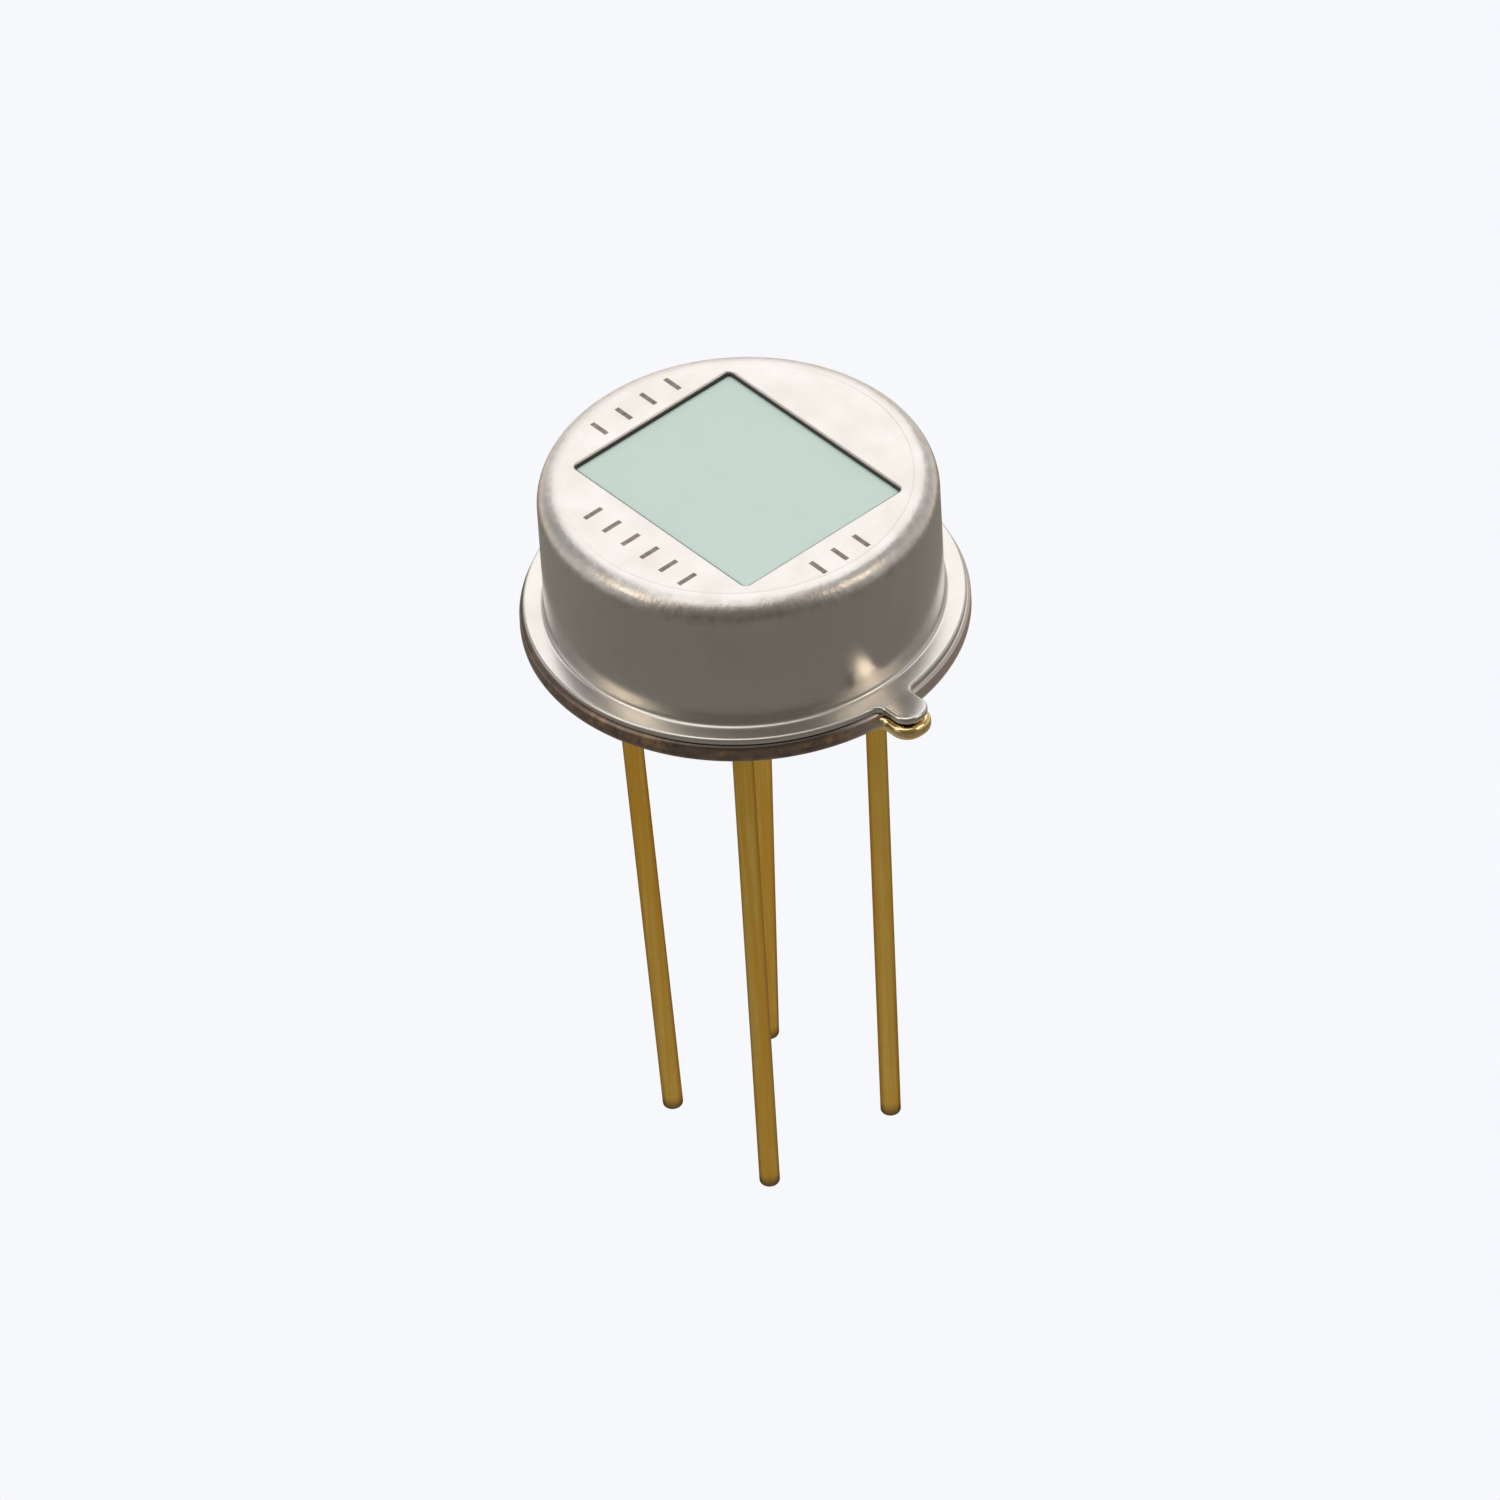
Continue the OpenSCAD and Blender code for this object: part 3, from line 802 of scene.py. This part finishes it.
# adhesive: thin layer over the plate's rim and a lining up the aperture's edge
glueShape = {"lining": 0.03 * mm, "drop": 0.05 * mm}  # drop: lining below the punched edge
lining = glueShape["lining"]
liningZ = coinZ - glueShape["drop"]
bm = bmesh.new()
insideX, insideY, insideCorner = apertureX - lining, apertureY - lining, corner - lining
innerLow = roundLoop(bm, insideX, insideY, insideCorner, windowHigh.z, cornerSteps)
innerTop = roundLoop(bm, insideX, insideY, insideCorner, liningZ, cornerSteps)
outerTop = roundLoop(bm, apertureX, apertureY, corner, liningZ, cornerSteps)
outerLow = roundLoop(bm, apertureX, apertureY, corner, ceilingZ, cornerSteps)
plateTop = roundLoop(bm, windowHigh.x, windowHigh.y, 0, ceilingZ, 1)
plateLow = roundLoop(bm, windowHigh.x, windowHigh.y, 0, windowHigh.z, 1)
for pair in (innerLow + innerTop, outerTop + outerLow, plateTop + plateLow):
    bmesh.ops.bridge_loops(bm, edges=pair)
for z in (liningZ, ceilingZ, windowHigh.z):
    fillFlat(bm, openRim(bm, z))
bringOut("windowGlue", bm, blackGlue, "black_adhesive", "window_seal")
print("pieces made")

# finishes of the frame's own nodes
finishByNode = {
    "cap": nickel,
    "window": mint,
    "window_seal": blackGlue,
    "header": headerGold,
    "carrier_bond": silverGlue,
    "carrier": alumina,
    "die_bond": silverGlue,
    "sensor_die": silicon,
}
for name, node in nodes.items():
    look = finishByNode.get(name)
    if look is None:
        look = sealGlass if name.endswith("_seal") else gold
    node.data.materials.clear()
    node.data.materials.append(look)

# camera at the photograph's angle; it turns about its own place to frame the part
cameraSetup = {
    "azimuth": -39.457,
    "elevation": 40.917,
    "roll": -3.6,
    "distance": 286.65 * mm,
    "lens": 338.2,
    "aimRight": 0.0858 * mm,
    "aimUp": -2.7815 * mm,
    "clipStart": 10 * mm,
}

# studio: pale floor under the lead tips, bright sky behind and above, darker in front,
# and a soft lamp on each side
studioLook = {
    "pale": (0.930, 0.939, 0.973),
    "warm": (0.23, 0.21, 0.185),
    "floorSize": 3.0,
    "floorFront": 0.9,
    "floorBack": 1.08,
    "floorSpan": 18 * mm,
    "floorNear": 1.55,  # brighter close under the part
    "nearReach": (15 * mm, 21 * mm),
    "floorFar": 3.8,  # and far behind it
    "farReach": (-50.4 * mm, -27 * mm),
    "sky": (1.0, 0.985, 0.965),
    "skyFront": (1.0, 0.93, 0.77),
    "skyBright": 1.53,
    "skyDim": 0.36,
    "frontShade": 0.46,
    "horizon": (-0.4, 0.2),  # change low in the sky, in front and behind
    "horizonRise": (0.05, 0.4),
    "sideGlow": 0.3,
    "rightGlow": 0.2,
    "rearShade": 0.72,
    "lamp": (1.0, 0.86, 0.68),
    "lampDistance": 0.35,
    "lampTilt": 41,
}
skyLobes = {  # turn from the camera's bearing, tilt, and the cosines that a lobe fades between
    "behind": {"turn": -172, "tilt": 42, "fade": (0.643, 0.899)},
    "left": {"turn": -90, "tilt": 30, "fade": (0.58, 0.75)},
    "overhead": {"turn": -70, "tilt": 80, "fade": (0.866, 0.978)},
    "front": {"turn": 0, "tilt": 25, "fade": (0.574, 0.866)},
    "horizon": {"turn": -155, "tilt": 0, "fade": (-0.2, 0.7)},
    "sideLeft": {"turn": -90, "tilt": 0, "fade": (0.8, 0.97)},
    "sideRight": {"turn": 90, "tilt": 0, "fade": (0.8, 0.97)},
    "right": {"turn": 128, "tilt": 14, "fade": (0.866, 0.978)},
    "rear": {"turn": -172, "tilt": 4, "fade": (0.82, 0.95)},
}
lamps = {  # turn from the camera's bearing, size, glow
    "lampLeft": {"turn": -74, "size": 0.12, "glow": 2.65},
    "lampRight": {"turn": 71, "size": 0.1, "glow": 3.2},
}
bm = bmesh.new()
bmesh.ops.create_grid(
    bm, x_segments=1, y_segments=1, size=studioLook["floorSize"],
    matrix=Matrix.Translation((0, 0, cadLow.z)),
)
mesh = bpy.data.meshes.new("studioFloor")
bm.to_mesh(mesh)
bm.free()
floor = bpy.data.objects.new("studioFloor", mesh)
scene.collection.objects.link(floor)


def toward(turn, tilt):  # direction at an angle from the camera's bearing, in degrees
    bearing = math.radians(cameraSetup["azimuth"] + turn)
    rise = math.radians(tilt)
    level = Vector((math.sin(bearing), -math.cos(bearing), 0))
    return level * math.cos(rise) + upward * math.sin(rise)


def shareOf(tree, vector, direction):  # how far a vector goes along a direction
    node = putNode(tree, "ShaderNodeVectorMath", operation="DOT_PRODUCT")
    tree.links.new(vector, node.inputs[0])
    node.inputs[1].default_value = direction
    return node.outputs["Value"]


def forCamera(tree, other, seen):  # one shader for camera rays, another for all the rest
    mix = putNode(tree, "ShaderNodeMixShader")
    tree.links.new(putNode(tree, "ShaderNodeLightPath").outputs["Is Camera Ray"], mix.inputs[0])
    tree.links.new(other, mix.inputs[1])
    tree.links.new(seen, mix.inputs[2])
    return mix.outputs[0]


floorLook = bpy.data.materials.new("paleFloor")
floorLook.use_nodes = True
tree = floorLook.node_tree
tree.nodes.clear()
surface = putNode(tree, "ShaderNodeNewGeometry")
paleGlow = putNode(tree, "ShaderNodeEmission")
paleGlow.inputs["Color"].default_value = (*studioLook["pale"], 1)
warmGlow = putNode(tree, "ShaderNodeEmission")
warmGlow.inputs["Color"].default_value = (*studioLook["warm"], 1)
ahead = shareOf(tree, surface.outputs["Position"], toward(0, 0))
reach = reachOf(tree, surface.outputs["Position"])
span = studioLook["floorSpan"]
glow = spread(tree, ahead, -span, span, studioLook["floorBack"], studioLook["floorFront"], True)
near = spread(tree, reach, *studioLook["nearReach"], studioLook["floorNear"], 1, True)
far = spread(tree, ahead, *studioLook["farReach"], studioLook["floorFar"], 1, True)
glow = doMath(tree, "MULTIPLY", doMath(tree, "MULTIPLY", glow, near), far)
tree.links.new(glow, warmGlow.inputs["Strength"])
under = putNode(tree, "ShaderNodeMixShader")
tree.links.new(surface.outputs["Backfacing"], under.inputs[0])
tree.links.new(forCamera(tree, warmGlow.outputs[0], paleGlow.outputs[0]), under.inputs[1])
tree.links.new(putNode(tree, "ShaderNodeBsdfTransparent").outputs[0], under.inputs[2])
tree.links.new(under.outputs[0], putNode(tree, "ShaderNodeOutputMaterial").inputs[0])
mesh.materials.append(floorLook)

sky = bpy.data.worlds.new("studioSky")
scene.world = sky
sky.use_nodes = True
tree = sky.node_tree
tree.nodes.clear()
direction = putNode(tree, "ShaderNodeTexCoord").outputs["Generated"]


def lobe(name, outside=0, inside=1):  # one stretch of the sky, soft at its edge
    values = skyLobes[name]
    share = shareOf(tree, direction, toward(values["turn"], values["tilt"]))
    return spread(tree, share, *values["fade"], outside, inside, True)


behind = doMath(tree, "MULTIPLY", lobe("behind"), lobe("left", 1, 0))
bright = doMath(tree, "MAXIMUM", behind, lobe("overhead"))
glow = spread(tree, bright, 0, 1, studioLook["skyDim"], studioLook["skyBright"])
front = lobe("front")
glow = doMath(tree, "MULTIPLY", glow, spread(tree, front, 0, 1, 1, studioLook["frontShade"]))
rise = shareOf(tree, direction, upward)
low = spread(tree, rise, *studioLook["horizonRise"], 1, 0, True)
horizon = doMath(tree, "MULTIPLY", lobe("horizon", *studioLook["horizon"]), low)
glow = doMath(tree, "MULTIPLY", glow, doMath(tree, "ADD", horizon, 1))
for name in ("sideLeft", "sideRight"):
    glow = doMath(tree, "ADD", glow, lobe(name, 0, studioLook["sideGlow"]))
glow = doMath(tree, "ADD", glow, lobe("right", 0, studioLook["rightGlow"]))
glow = doMath(tree, "MULTIPLY", glow, lobe("rear", 1, studioLook["rearShade"]))
lit = putNode(tree, "ShaderNodeBackground")
tree.links.new(tint(tree, front, studioLook["sky"], studioLook["skyFront"]), lit.inputs["Color"])
tree.links.new(glow, lit.inputs["Strength"])
paleSky = putNode(tree, "ShaderNodeBackground")
paleSky.inputs["Color"].default_value = (*studioLook["pale"], 1)
seen = forCamera(tree, lit.outputs[0], paleSky.outputs[0])
tree.links.new(seen, putNode(tree, "ShaderNodeOutputWorld").inputs[0])

for name, lampLook in lamps.items():
    lampData = bpy.data.lights.new(name, "AREA")
    lampData.size = lampLook["size"]
    lampData.color = studioLook["lamp"]
    lampData.energy = lampLook["glow"] * math.pi * lampLook["size"] ** 2
    lamp = bpy.data.objects.new(name, lampData)
    way = toward(lampLook["turn"], studioLook["lampTilt"])
    aimed = way.to_track_quat("Z", "Y").to_matrix().to_4x4()
    lamp.matrix_world = Matrix.Translation(way * studioLook["lampDistance"]) @ aimed
    lamp.visible_camera = False
    scene.collection.objects.link(lamp)
scene.view_settings.view_transform = "Standard"

back = toward(0, cameraSetup["elevation"])
roll = Matrix.Rotation(math.radians(cameraSetup["roll"]), 3, back)
camRight = roll @ toward(90, 0)
camUp = back.cross(camRight)
eye = back * cameraSetup["distance"]
aim = camRight * cameraSetup["aimRight"] + camUp * cameraSetup["aimUp"]
sight = (eye - aim).normalized()
side = camUp.cross(sight).normalized()
facing = Matrix((side, sight.cross(side), sight)).transposed().to_4x4()
cameraData = bpy.data.cameras.new("photoCamera")
cameraData.lens = cameraSetup["lens"]
cameraData.clip_start = cameraSetup["clipStart"]
camera = bpy.data.objects.new("photoCamera", cameraData)
camera.matrix_world = Matrix.Translation(eye) @ facing
scene.collection.objects.link(camera)
scene.camera = camera
print("studio made")
